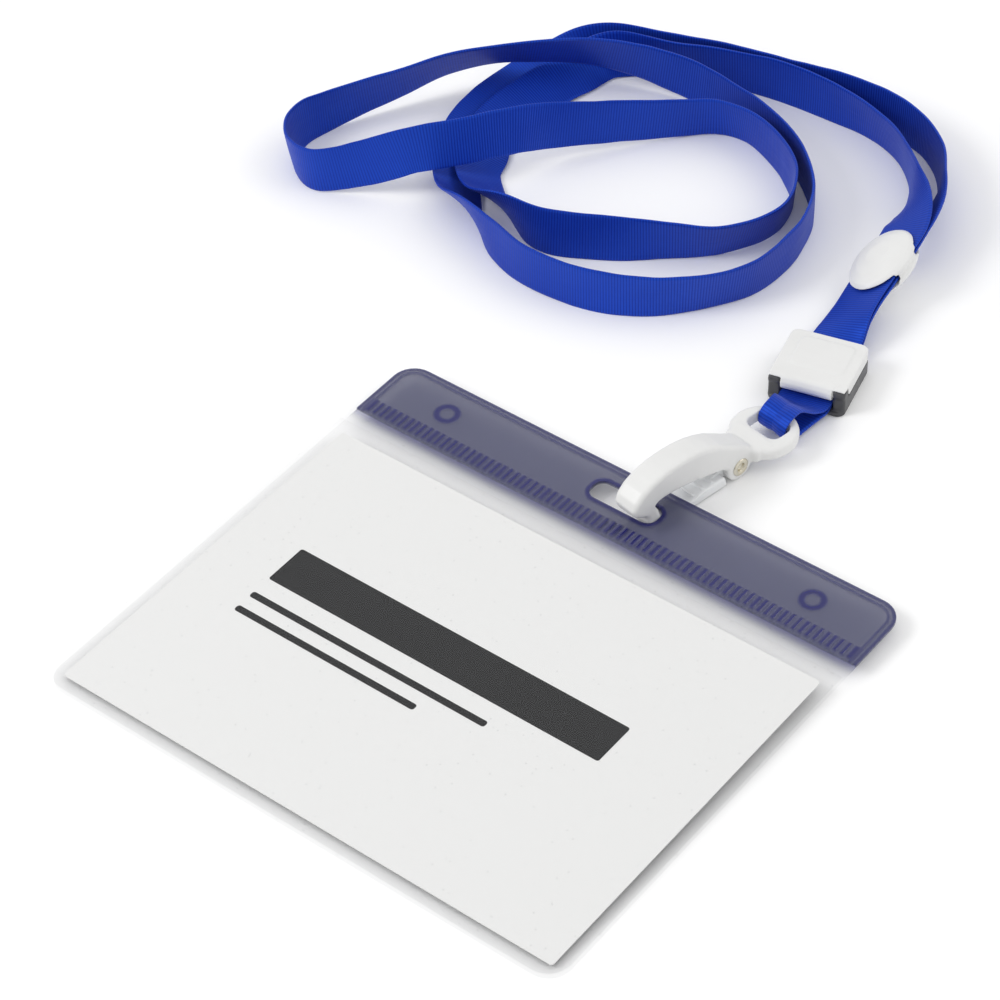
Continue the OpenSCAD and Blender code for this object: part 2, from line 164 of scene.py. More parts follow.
def woven_ribbon(name, at, line, across, widths, pleats):
    """A grid wrapped to a closed section and laid along a line. Each rib is two rings, up and down."""
    facing = np.cross(directions(line), across)
    facing /= np.linalg.norm(facing, axis=1)[:, None]
    turns = len(ribbon_section)
    girth = 2 * (strap_width + strap_thickness)
    bm = bmesh.new()
    weave = bm.loops.layers.uv.new("weave")
    bmesh.ops.create_grid(bm, x_segments=len(at) - 1, y_segments=turns, size=0.5)
    where = {v: (round((v.co.x + 0.5) * (len(at) - 1)), round((v.co.y + 0.5) * turns)) for v in bm.verts}
    for face in bm.faces:
        for corner in face.loops:
            i, j = where[corner.vert]
            corner[weave].uv = (at[i], girth * j / turns)
    end = at[-1]
    rings = []
    for i, s in enumerate(at):
        rib = strap_thickness / 2 + (rib_height if i % 2 else 0)
        settled = min(1, s / 0.07, (end - s) / 0.07)
        cup = 0.22 * MM * wander(s, 0.045, 3) * settled
        left = widths[i] / 2 + 0.16 * MM * wander(s, 0.005, 7)
        right_side = widths[i] / 2 + 0.16 * MM * wander(s, 0.005, 11)
        rings.append((rib, cup, left, right_side))
    for v, (i, j) in where.items():
        share, out = ribbon_section[j % turns]
        rib, cup, left, right_side = rings[i]
        sideways = share * (right_side if share > 0 else left)
        lift = out * rib + cup * (1 - share * share) + pleats[i] * math.cos(3 * math.pi * share)
        v.co = Vector(line[i] + across[i] * sideways + facing[i] * lift)
    bmesh.ops.remove_doubles(bm, verts=bm.verts, dist=1e-7)
    bmesh.ops.holes_fill(bm, edges=[edge for edge in bm.edges if edge.is_boundary])
    return new_piece(name, bm)


def place_node(tree, kind, inputs, **settings):
    """Adds a node with its settings, then fills its inputs with values or with another node's output."""
    node = tree.nodes.new(kind)
    for setting, value in settings.items():
        setattr(node, setting, value)
    for socket, value in inputs.items():
        if isinstance(value, bpy.types.NodeSocket):
            tree.links.new(value, node.inputs[socket])
        else:
            node.inputs[socket].default_value = value
    return node


def new_material(name, **surface):
    """A Principled material with constants on its own sockets, and its tree."""
    material = bpy.data.materials.new(name)
    material.use_nodes = True
    shader = material.node_tree.nodes["Principled BSDF"]
    for socket, value in surface.items():
        shader.inputs[socket.replace("_", " ")].default_value = value
    return material, material.node_tree, shader


def colour(red, green, blue):
    """A screen colour of 0 to 255 a channel, as the linear colour that a shader takes."""
    linear = [((c / 255 + 0.055) / 1.055) ** 2.4 for c in (red, green, blue)]
    return (*linear, 1)


def ribbon_satin():
    """Satin of fine threads: ribs across, with painted shade darkening the grooves between them, and slow
    changes of the dye.
    """
    material, tree, shader = new_material(
        "ribbon_satin",
        Metallic=0.3,
        Specular_IOR_Level=0.6,
        Specular_Tint=colour(120, 170, 255),
        Anisotropic=0.5,
        Sheen_Weight=0.04,
    )
    thread_uv = place_node(tree, "ShaderNodeUVMap", {}, uv_map="weave")
    split = place_node(tree, "ShaderNodeSeparateXYZ", {"Vector": thread_uv.outputs["UV"]})
    turns = 2 * math.pi / rib_pitch
    angle = place_node(tree, "ShaderNodeMath", {0: split.outputs["X"], 1: turns}, operation="MULTIPLY")
    wave = place_node(tree, "ShaderNodeMath", {0: angle.outputs["Value"]}, operation="COSINE")
    # Painted shade: a mask that peaks once per rib pitch, meant for the low valleys between the ribs where
    # shade falls.
    painted_groove_shade = place_node(
        tree,
        "ShaderNodeMapRange",
        {"Value": wave.outputs["Value"], "From Min": -0.2, "From Max": 1, "To Min": 0, "To Max": 1},
    )
    stretched = place_node(
        tree, "ShaderNodeMapping", {"Vector": thread_uv.outputs["UV"], "Scale": (160, 2600, 1)}
    )
    threads = place_node(
        tree, "ShaderNodeTexNoise", {"Vector": stretched.outputs["Vector"], "Scale": 1, "Detail": 2}
    )
    slow = place_node(tree, "ShaderNodeMapping", {"Vector": thread_uv.outputs["UV"], "Scale": (35, 60, 1)})
    dye = place_node(
        tree, "ShaderNodeTexNoise", {"Vector": slow.outputs["Vector"], "Scale": 1, "Detail": 3}
    )
    body = place_node(
        tree,
        "ShaderNodeMixRGB",
        {"Fac": dye.outputs["Fac"], "Color1": colour(13, 42, 150), "Color2": colour(30, 78, 202)},
    )
    # Painted shade: the colour is pulled towards this darker blue in the valleys between the ribs.
    ribbed = place_node(
        tree,
        "ShaderNodeMixRGB",
        {"Fac": painted_groove_shade.outputs["Result"], "Color1": body.outputs["Color"], "Color2": colour(14, 42, 146)},
    )
    tree.links.new(ribbed.outputs["Color"], shader.inputs["Base Color"])
    rough = place_node(
        tree, "ShaderNodeMapRange", {"Value": threads.outputs["Fac"], "To Min": 0.34, "To Max": 0.5}
    )
    tree.links.new(rough.outputs["Result"], shader.inputs["Roughness"])
    relief = place_node(
        tree, "ShaderNodeBump", {"Height": threads.outputs["Fac"], "Strength": 0.25, "Distance": 0.00006}
    )
    tree.links.new(relief.outputs["Normal"], shader.inputs["Normal"])
    return material


satin = ribbon_satin()
strap_at, strap_rows = smooth_line(neck_route, rib_pitch / 2)
strap_line = strap_rows[:, :3]
strap_ahead = directions(strap_line)
strap_side = np.cross(strap_ahead, [0, 0, 1])
strap_side /= np.linalg.norm(strap_side, axis=1)[:, None]
strap_upright = np.cross(strap_side, strap_ahead)
lean = np.radians(strap_rows[:, 3])[:, None]
strap_across = np.cos(lean) * strap_upright + np.sin(lean) * strap_side
neck_strap = woven_ribbon(
    "woven_neck_strap",
    strap_at,
    strap_line,
    strap_across,
    np.full(len(strap_at), strap_width),
    np.zeros(len(strap_at)),
)
neck_strap.data.materials.append(satin)
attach(neck_strap, "strap")
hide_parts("neck_strap")

# ---- Loop to the hook ---------------------------------------------------------------------------------
# A short length of the same ribbon, held in the clamp at both ends. It is gathered into pleats where it
# goes down through the eye of the hook and comes back on itself.
# Stations of its middle line and its width, in metres, and the turn of its width from X, in degrees
loop_route = [
    (0.0077, 0.0514, 0.0013, 0.01, 14.5), (0.0095, 0.0443, 0.0013, 0.01, 14.5),
    (0.0098, 0.0422, 0.0013, 0.009, 8), (0.0101, 0.039, 0.0012, 0.0072, -4),
    (0.0103, 0.0362, 0.0014, 0.0068, -10), (0.0101, 0.0346, 0.002, 0.0068, -10),
    (0.0099, 0.0337, 0.0032, 0.0068, -10), (0.0099, 0.0337, 0.0048, 0.0068, -10),
    (0.0101, 0.0346, 0.006, 0.0068, -10), (0.0103, 0.0362, 0.0066, 0.0068, -10),
    (0.0101, 0.0384, 0.006, 0.0072, -6), (0.0098, 0.0414, 0.0032, 0.0086, 6),
    (0.0095, 0.0443, 0.00215, 0.01, 14.5), (0.0077, 0.0514, 0.00215, 0.01, 14.5),
]
loop_at, loop_rows = smooth_line(loop_route, rib_pitch / 2)
loop_turn = np.radians(loop_rows[:, 4])
loop_across = np.column_stack([np.cos(loop_turn), np.sin(loop_turn), np.zeros(len(loop_turn))])
gathered = 1 - loop_rows[:, 3] / strap_width
hook_loop = woven_ribbon(
    "woven_hook_loop", loop_at, loop_rows[:, :3], loop_across, loop_rows[:, 3], 0.5 * MM * gathered
)
hook_loop.data.materials.append(satin)
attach(hook_loop, "strap")
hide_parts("hook_loop")

# ---- Oval slider --------------------------------------------------------------------------------------
# A white moulded oval, domed on both faces with a slight waist between them. Both runs of the strap
# pass through its slot, so it grips wherever it is pushed.
slider_length = 16.8 * MM
slider_width = 12.6 * MM
slider_slot = (10.8 * MM, 2.4 * MM)
slider_profile = [(0, 3.2), (2.2, 3.1), (4.2, 2.65), (5.6, 1.95), (6.25, 1.2), (6.25, 0.75), (5.95, 0.35)]


def add_prism(bm, outline, height, place=Matrix(), round_over=0.0):
    """Adds an outline as a solid of that height, its two rims rounded over. Millimetres, then placed."""
    corners = [bm.verts.new((x * MM, y * MM, round_over * MM)) for x, y in outline]
    under = bm.faces.new(corners)
    grown = bmesh.ops.extrude_face_region(bm, geom=[under], use_keep_orig=True)["geom"]
    top = [part for part in grown if isinstance(part, bmesh.types.BMFace)][0]
    bmesh.ops.translate(bm, verts=top.verts, vec=(0, 0, (height - 2 * round_over) * MM))
    if round_over:
        bmesh.ops.recalc_face_normals(bm, faces=bm.faces)
        bmesh.ops.inset_region(
            bm, faces=[under, top], thickness=round_over * MM, depth=round_over * MM, use_even_offset=True
        )
    solid = set()
    reached = [under]
    while reached:
        face = reached.pop()
        if face not in solid:
            solid.add(face)
            reached += [near for edge in face.edges for near in edge.link_faces]
    bmesh.ops.transform(bm, matrix=place, verts=list({v for face in solid for v in face.verts}))


def round_corners(width, length, radius, middle=(0, 0), steps=6):
    """A rectangle with an arc at each corner, as outline points in millimetres."""
    outline = []
    for quarter, (sx, sy) in enumerate([(1, 1), (-1, 1), (-1, -1), (1, -1)]):
        for k in range(steps + 1):
            angle = math.pi / 2 * (quarter + k / steps)
            x = sx * (width / 2 - radius) + radius * math.cos(angle)
            y = sy * (length / 2 - radius) + radius * math.sin(angle)
            outline.append((middle[0] + x, middle[1] + y))
    return outline


def disc(radius, middle=(0, 0), steps=40):
    angles = [2 * math.pi * k / steps for k in range(steps)]
    return [(middle[0] + radius * math.cos(a), middle[1] + radius * math.sin(a)) for a in angles]


def apply_modifiers(piece):
    graph = bpy.context.evaluated_depsgraph_get()
    mesh = bpy.data.meshes.new_from_object(piece.evaluated_get(graph))
    piece.modifiers.clear()
    piece.data = mesh


def carve(piece, bm, operation="DIFFERENCE"):
    """Cuts a piece with the solids of a bmesh, or keeps only what is inside them."""
    cutter = new_piece("cutter", bm)
    cut = piece.modifiers.new("cut", "BOOLEAN")
    cut.object = cutter
    cut.operation = operation
    cut.solver = "EXACT"
    apply_modifiers(piece)
    bpy.data.objects.remove(cutter)


def fuse(piece, grain, passes):
    """Fuses a piece's solids into one skin, then eases its edges as a mould does."""
    skin = piece.modifiers.new("skin", "REMESH")
    skin.mode = "VOXEL"
    skin.voxel_size = grain * MM
    apply_modifiers(piece)
    bm = bmesh.new()
    bm.from_mesh(piece.data)
    for _ in range(passes):
        bmesh.ops.smooth_vert(
            bm, verts=bm.verts, factor=0.5, use_axis_x=True, use_axis_y=True, use_axis_z=True
        )
    bm.to_mesh(piece.data)
    bm.free()


def finish_mould(piece, place, material, sharp=50):
    """Puts a finished moulding in its place, shades it smooth and gives it its plastic."""
    piece.data.transform(place)
    piece.data.polygons.foreach_set("use_smooth", [True] * len(piece.data.polygons))
    piece.data.set_sharp_from_angle(angle=math.radians(sharp))
    piece.data.materials.clear()
    piece.data.materials.append(material)


def moulded_skin_group():
    """What every moulding shares: faint flow marks, a fine skin texture and a softly uneven gloss."""
    group = bpy.data.node_groups.new("moulded_skin", "ShaderNodeTree")
    flow_size = group.interface.new_socket("Flow", in_out="INPUT", socket_type="NodeSocketFloat")
    flow_size.default_value = 120
    group.interface.new_socket("Skin", in_out="INPUT", socket_type="NodeSocketFloat").default_value = 2500
    group.interface.new_socket("Flow marks", in_out="OUTPUT", socket_type="NodeSocketFloat")
    group.interface.new_socket("Roughness", in_out="OUTPUT", socket_type="NodeSocketFloat")
    group.interface.new_socket("Height", in_out="OUTPUT", socket_type="NodeSocketFloat")
    given = group.nodes.new("NodeGroupInput")
    here = group.nodes.new("ShaderNodeTexCoord").outputs["Object"]
    flow = place_node(
        group,
        "ShaderNodeTexNoise",
        {"Vector": here, "Scale": given.outputs["Flow"], "Detail": 3, "Distortion": 0.6},
    )
    skin = place_node(
        group, "ShaderNodeTexNoise", {"Vector": here, "Scale": given.outputs["Skin"], "Detail": 2}
    )
    gloss = place_node(
        group, "ShaderNodeMapRange", {"Value": flow.outputs["Fac"], "To Min": 0.28, "To Max": 0.46}
    )
    place_node(
        group,
        "NodeGroupOutput",
        {
            "Flow marks": flow.outputs["Fac"],
            "Roughness": gloss.outputs["Result"],
            "Height": skin.outputs["Fac"],
        },
    )
    return group


def moulded_plastic(name, light, dark, **surface):
    """A plastic between two close colours, with the shared skin of a moulding."""
    material, tree, shader = new_material(name, **surface)
    skin = place_node(tree, "ShaderNodeGroup", {}, node_tree=moulded_skin)
    shade = place_node(
        tree, "ShaderNodeMixRGB", {"Fac": skin.outputs["Flow marks"], "Color1": light, "Color2": dark}
    )
    relief = place_node(
        tree, "ShaderNodeBump", {"Height": skin.outputs["Height"], "Strength": 0.12, "Distance": 0.00005}
    )
    tree.links.new(shade.outputs["Color"], shader.inputs["Base Color"])
    tree.links.new(skin.outputs["Roughness"], shader.inputs["Roughness"])
    tree.links.new(relief.outputs["Normal"], shader.inputs["Normal"])
    return material


moulded_skin = moulded_skin_group()
white_plastic = moulded_plastic(
    "white_moulding",
    colour(228, 228, 227),
    colour(220, 220, 219),
    Subsurface_Weight=0.15,
    Subsurface_Radius=(0.002, 0.002, 0.002),
    Subsurface_Scale=0.5,
)

slider_low, slider_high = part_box("oval_slider")
slide_along = Vector(joints["slider_slide"]["axis"]).normalized()
slider_roll = math.radians(-25)
slider_turn = math.atan2(-slide_along.x, slide_along.y)
slider_pitch = math.asin(slide_along.z)
slider_place = (
    Matrix.Translation((slider_low + slider_high) / 2)
    @ Matrix.Rotation(slider_turn, 4, "Z")
    @ Matrix.Rotation(slider_pitch, 4, "X")
    @ Matrix.Rotation(slider_roll, 4, "Y")
)
bm = bmesh.new()
half_profile = slider_profile + [(radius, -height) for radius, height in reversed(slider_profile)]
rim = [bm.verts.new((radius * MM, 0, height * MM)) for radius, height in half_profile]
rim_edges = [bm.edges.new(pair) for pair in zip(rim, rim[1:])]
bmesh.ops.spin(
    bm, geom=rim + rim_edges, cent=(0, 0, 0), axis=(0, 0, 1), angle=2 * math.pi, steps=72, use_merge=True
)
bmesh.ops.remove_doubles(bm, verts=bm.verts, dist=0.001 * MM)
bmesh.ops.scale(bm, verts=bm.verts, vec=(1, slider_length / slider_width, 1))
slider = new_piece("domed_slider", bm)
bm = bmesh.new()
bmesh.ops.create_cube(bm, size=1)
bmesh.ops.scale(bm, verts=bm.verts, vec=(slider_slot[0], 2 * slider_length, slider_slot[1]))
carve(slider, bm)
fuse(slider, 0.16, 5)
finish_mould(slider, slider_place, white_plastic)
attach(slider, "slider")
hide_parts("oval_slider")

# ---- Clamp tray ---------------------------------------------------------------------------------------
# The dark half of the clamp, moulded in ABS: a shallow tray that the ribbon lies in, a low wall on each
# side, and a bored knuckle at each front corner for the lid's pins.
clamp_size = (15, 14.7)
clamp_turn = 14.5
hinge = (-5.6, 4.3)
knuckle_radius = 1.15
knuckle_length = 2.4
pin_radius = 0.8

along_y = Matrix(((0, 0, 1, 0), (1, 0, 0, 0), (0, 1, 0, 0), (0, 0, 0, 1)))


def across_clamp(from_x):
    """Places an outline drawn in y and z, and grown towards +X, from one x."""
    return Matrix.Translation((from_x * MM, 0, 0)) @ along_y


def bend(middle, radius, start, end, steps=10):
    """Points of an arc from one angle to another, in degrees."""
    angles = [math.radians(start + (end - start) * k / steps) for k in range(steps + 1)]
    return [(middle[0] + radius * math.cos(a), middle[1] + radius * math.sin(a)) for a in angles]


dark_plastic = moulded_plastic("dark_moulding", colour(72, 72, 75), colour(58, 58, 61))
base_low, base_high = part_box("clamp_base")
clamp_middle = (base_low + base_high) / 2
clamp_place = Matrix.Translation((clamp_middle.x, clamp_middle.y, 0)) @ Matrix.Rotation(
    math.radians(clamp_turn), 4, "Z"
)
bm = bmesh.new()
half_width = clamp_size[0] / 2
add_prism(bm, round_corners(*clamp_size, 1.6), 0.85, round_over=0.2)
knuckle = bend(hinge, knuckle_radius, 0, 180) + [(-6.4, 3.4), (-6.6, 0.1), (-3.9, 0.1)]
for side in (-1, 1):
    wall = round_corners(1.3, 12.6, 0.5, (side * (half_width - 0.65), 0.6))
    add_prism(bm, wall, 3.15, Matrix.Translation((0, 0, 0.05 * MM)), round_over=0.2)
    inner_end = half_width - knuckle_length if side > 0 else -half_width
    add_prism(bm, knuckle, knuckle_length, across_clamp(inner_end), round_over=0.25)
tray = new_piece("clamp_tray", bm)
fuse(tray, 0.15, 3)
bm = bmesh.new()
add_prism(bm, disc(pin_radius + 0.06, hinge), 2 * half_width - 1.2, across_clamp(0.6 - half_width))
carve(tray, bm)
finish_mould(tray, clamp_place, dark_plastic)
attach(tray, "strap")
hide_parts("clamp_base")

# ---- Clamp lid ----------------------------------------------------------------------------------------
# The white half: a thick plate with a low raised panel on it, hinged on two pins at its front edge.
# Four blunt teeth under it bite the ribbon when it is pressed shut.
lid_under = 3.3
lid_top = 5.9
lid_back = clamp_size[1] / 2
tooth_height = 0.6

bm = bmesh.new()
over_knuckles = bend(hinge, lid_top - hinge[1], 90, 128) + bend(hinge, knuckle_radius + 0.1, 128, 20)
side_outline = [(lid_back, lid_under), (lid_back, lid_top)] + over_knuckles + [(-4.0, lid_under)]
add_prism(bm, side_outline, clamp_size[0], across_clamp(-half_width))
lid = new_piece("clamp_cover", bm)
bm = bmesh.new()
add_prism(bm, round_corners(clamp_size[0], clamp_size[1], 1.4), 10)
carve(lid, bm, "INTERSECT")
bm = bmesh.new()
bm.from_mesh(lid.data)
barrel_half = half_width - knuckle_length - 0.15
barrel = bend(hinge, lid_top - hinge[1] - 0.03, 20, 300) + [(-3.6, lid_under + 0.1), (-3.6, lid_top - 0.3)]
add_prism(bm, barrel, 2 * barrel_half, across_clamp(-barrel_half))
add_prism(bm, disc(pin_radius, hinge), 2 * half_width - 1.6, across_clamp(0.8 - half_width))
raised_field = round_corners(10.6, 8.4, 1.2, (0.2, 1.6))
add_prism(bm, raised_field, 0.6, Matrix.Translation((0, 0, (lid_top - 0.4) * MM)), 0.15)
for k in range(4):
    tooth = round_corners(9.6, 0.8, 0.2, (0, 2 * k - 1.6))
    add_prism(bm, tooth, tooth_height + 0.2, Matrix.Translation((0, 0, (lid_under - tooth_height) * MM)))
bm.to_mesh(lid.data)
bm.free()
fuse(lid, 0.15, 4)
finish_mould(lid, clamp_place, white_plastic)
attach(lid, "lid")
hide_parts("clamp_lid")

# ---- Hook body ----------------------------------------------------------------------------------------
# The arch, the boss and the flat eye are one white moulding. The arch narrows to the nose that passes
# through the holder's slot, and a pocket between the cheeks of the boss takes the gate and its spring.
hook_thickness = 5.6
rivet_at = (20.5, 2.9)
arch_outline = [
    (24, 5.3), (22.6, 6.6), (20.5, 7.8), (18.2, 9.3), (16, 10.7), (13.5, 11.8), (11, 12.6), (8, 13.1),
    (5, 13.2), (2, 13), (-1, 12.3), (-3.4, 11.1), (-5, 9.6), (-5.6, 8), (-5, 6.4), (-3.6, 5.4), (-2.3, 4.8),
    (-1.8, 4), (-1.6, 2.4), (-0.9, 0.9), (0.3, 0.1), (1.2, 0), (7, 0), (7.2, 0.5), (7.2, 1.6), (3, 1.6),
    (2, 2), (1.5, 3), (1, 4.4), (0.3, 5.6), (-0.1, 6.4), (0.6, 7), (2.4, 7.1), (4.5, 6.9), (6.5, 6.6),
    (9, 6.1), (12, 5.4), (14.5, 4.9), (16.5, 4.2), (17.6, 3.4), (20.5, 0.6), (23, 1), (24, 2.7),
]
eye_middle = 29.1
eye_thickness = 2.7
eye_under = 2.65
hole_middle = 30.35

gate_side = Vector(joints["gate_pivot"]["axis"]).normalized()
hook_along = gate_side.cross(Vector((0, 0, 1)))
rivet_low, rivet_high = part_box("gate_rivet")
rivet_middle = (rivet_low + rivet_high) / 2
hook_place = (
    Matrix.Translation(rivet_middle)
    @ Matrix((hook_along, gate_side, (0, 0, 1))).transposed().to_4x4()
    @ Matrix.Translation((-rivet_at[0] * MM, 0, -rivet_at[1] * MM))
)


def upright(width, middle=0.0):
    """Places an outline drawn along the hook and up, and grown across it, about one middle."""
    return Matrix.Translation((0, (middle + width / 2) * MM, 0)) @ Matrix.Rotation(math.pi / 2, 4, "X")


bm = bmesh.new()
add_prism(bm, arch_outline, hook_thickness, upright(hook_thickness), round_over=0.55)
add_prism(bm, disc(2.9, rivet_at), hook_thickness, upright(hook_thickness), round_over=0.15)
at_eye = Matrix.Translation((0, 0, eye_under * MM))
add_prism(bm, disc(6.5, (eye_middle, 0), 56), eye_thickness, at_eye, round_over=0.6)
one_side = [(19, -2.7), (22.4, -2.8), (23.6, -4.2), (25.2, -4.3), (26.5, -4.9), (27.5, -4)]
shoulders = one_side + [(u, -v) for u, v in reversed(one_side)]
at_shoulders = Matrix.Translation((0, 0, (eye_under - 0.1) * MM))
add_prism(bm, shoulders, eye_thickness + 0.3, at_shoulders, round_over=0.5)
hook_body = new_piece("hook_arch", bm)
fuse(hook_body, 0.2, 2)
bm = bmesh.new()
add_prism(bm, round_corners(5.3, 7.6, 1.8, (hole_middle, 0)), 12)
add_prism(bm, disc(2.8, rivet_at), 2.6, upright(2.6))
pocket = [(13, -1), (rivet_at[0], -1), (rivet_at[0], 4.7), (13, 4.7)]
add_prism(bm, pocket, 2.6, upright(2.6))
carve(hook_body, bm)
fuse(hook_body, 0.2, 5)
for v in hook_body.data.vertices:
    if v.co.x < 10 * MM:
        height = min(1, max(0, (v.co.z / MM - 2) / 7))
        v.co.y *= 0.84 + 0.16 * height * height * (3 - 2 * height)
bm = bmesh.new()
add_prism(bm, disc(1.23, rivet_at), 8, upright(8))
carve(hook_body, bm)
finish_mould(hook_body, hook_place, white_plastic)
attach(hook_body, "hook")
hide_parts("hook_body")

# ---- Gate ---------------------------------------------------------------------------------------------
# A flap of natural, slightly milky plastic that closes the hook's mouth from below. Its shank runs back
# into the pocket and turns on the rivet.
tab_outline = [(7.5, 0.35), (17.5, 0.35), (17.2, 1.3), (17, 2.2), (16.4, 2.6), (12, 2.6), (7.6, 1.8)]
shank_outline = [(14, 0.8), (17.5, 1.3), (20.5, 0.8), (20.5, 5), (17.6, 3.7), (14, 2.6)]

milky_plastic = moulded_plastic(
    "milky_moulding",
    colour(232, 233, 234),
    colour(222, 224, 226),
    Subsurface_Weight=0.4,
    Subsurface_Radius=(0.002, 0.002, 0.002),
    Subsurface_Scale=0.8,
)
bm = bmesh.new()
add_prism(bm, tab_outline, 5.3, upright(5.3), round_over=0.2)
add_prism(bm, shank_outline, 1.4, upright(1.4, -0.5))
add_prism(bm, disc(2.05, rivet_at), 1.4, upright(1.4, -0.5))
for k in range(3):
    rib = [(9 + 2.4 * k, 2.4), (9.6 + 2.4 * k, 2.4), (9.6 + 2.4 * k, 2.85), (9 + 2.4 * k, 2.85)]
    add_prism(bm, rib, 4.2, upright(4.2))
gate = new_piece("sprung_gate", bm)
fuse(gate, 0.13, 2)
bm = bmesh.new()
add_prism(bm, disc(1.25, rivet_at), 8, upright(8))
carve(gate, bm)
finish_mould(gate, hook_place, milky_plastic)
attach(gate, "gate")
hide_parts("hook_gate")

# ---- Rivet --------------------------------------------------------------------------------------------
# A semi-tubular rivet of nickel-plated brass. It is pushed through both cheeks and the gate, and its
# hollow ends are rolled over.
rivet_profile = [
    (0, 2.25), (0.62, 2.3), (0.78, 2.5), (0.84, 2.9), (0.98, 3.06),
    (1.25, 3.13), (1.55, 3.09), (1.76, 2.97), (1.8, 2.84), (1.2, 2.8),
]


def worn_metal(name, bright, dull, roughness):
    """Plated metal, a little uneven in its polish and duller in patches."""
    material, tree, shader = new_material(name, Metallic=1.0)
    here = tree.nodes.new("ShaderNodeTexCoord").outputs["Object"]
    patches = place_node(tree, "ShaderNodeTexNoise", {"Vector": here, "Scale": 900, "Detail": 3})
    tint = place_node(
        tree, "ShaderNodeMixRGB", {"Fac": patches.outputs["Fac"], "Color1": bright, "Color2": dull}
    )
    rough = place_node(
        tree,
        "ShaderNodeMapRange",
        {"Value": patches.outputs["Fac"], "To Min": roughness, "To Max": roughness + 0.2},
    )
    tree.links.new(tint.outputs["Color"], shader.inputs["Base Color"])
    tree.links.new(rough.outputs["Result"], shader.inputs["Roughness"])
    return material


bm = bmesh.new()
ring = rivet_profile + [(radius, -reach) for radius, reach in reversed(rivet_profile)]
ring_verts = [bm.verts.new((radius * MM, reach * MM, 0)) for radius, reach in ring]
ring_edges = [bm.edges.new(pair) for pair in zip(ring_verts, ring_verts[1:])]
bmesh.ops.spin(
    bm,
    geom=ring_verts + ring_edges,
    cent=(0, 0, 0),
    axis=(0, 1, 0),
    angle=2 * math.pi,
    steps=48,
    use_merge=True,
)
bmesh.ops.remove_doubles(bm, verts=bm.verts, dist=0.001 * MM)
rivet = new_piece("rolled_rivet", bm, Matrix.Translation((rivet_at[0] * MM, 0, rivet_at[1] * MM)))
plated_nickel = worn_metal("plated_nickel", colour(226, 224, 214), colour(196, 186, 160), 0.16)
finish_mould(rivet, hook_place, plated_nickel)
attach(rivet, "hook")
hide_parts("gate_rivet")

# ---- Spring -------------------------------------------------------------------------------------------
# Two turns of spring wire round the rivet, beside the gate's hub. One end presses on the pocket's roof
# and the other on the gate, so the gate snaps shut.
spring_radius = 1.62
wire_radius = 0.19
turn_pitch = 0.4

bm = bmesh.new()
wire = bmesh.ops.create_circle(bm, cap_ends=False, segments=10, radius=wire_radius * MM)["verts"]
bmesh.ops.translate(bm, verts=wire, vec=(spring_radius * MM, 0.45 * MM, 0))
spring_steps = 72
coil = bmesh.ops.spin(
    bm,
    geom=wire + list({edge for v in wire for edge in v.link_edges}),
    cent=(0, 0, 0),
    axis=(0, 1, 0),
    dvec=(0, turn_pitch * 2.25 * MM / spring_steps, 0),
    angle=-2.25 * 2 * math.pi,
    steps=spring_steps,
)["geom_last"]
leg = bmesh.ops.extrude_edge_only(bm, edges=[part for part in coil if isinstance(part, bmesh.types.BMEdge)])
bmesh.ops.translate(
    bm, verts=[part for part in leg["geom"] if isinstance(part, bmesh.types.BMVert)], vec=(-0.9 * MM, 0, 0)
)
bmesh.ops.holes_fill(bm, edges=[edge for edge in bm.edges if edge.is_boundary])
spring = new_piece("coiled_spring", bm, Matrix.Translation((rivet_at[0] * MM, 0, rivet_at[1] * MM)))
spring_wire = worn_metal("spring_wire", colour(150, 150, 152), colour(110, 110, 114), 0.3)
finish_mould(spring, hook_place, spring_wire)
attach(spring, "gate")
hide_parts("gate_spring")

# ---- Clear back sheet ---------------------------------------------------------------------------------
# Die-cut clear vinyl under the card, welded to the front sheet along three sides and to the blue band
# along the top.
holder_width = 110
holder_height = 99
band_edge = 83.6
mouth = 79.2
sheet_thickness = 0.35
corner_radius = 4.5

slide_up = Vector(joints["card_slide"]["axis"]).normalized()
tilt = math.asin(slide_up.z)
sheet_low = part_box("back_sheet")[0]
holder_place = Matrix.Translation(
    (0, sheet_low.y + sheet_thickness * MM * math.sin(tilt), sheet_low.z)
) @ Matrix.Rotation(tilt, 4, "X")


def raised(height):
    return Matrix.Translation((0, 0, height * MM))


def sheet_outline(low, high):
    """The holder's outline between two heights, as if it ended there in square corners."""
    whole = round_corners(holder_width, holder_height, corner_radius, (0, holder_height / 2), 8)
    kept = [(x, y) for x, y in whole if low < y < high]
    half = holder_width / 2
    if high < holder_height:
        kept = [(half, high), (-half, high)] + kept
    else:
        kept = kept + [(-half, low), (half, low)]
    return kept


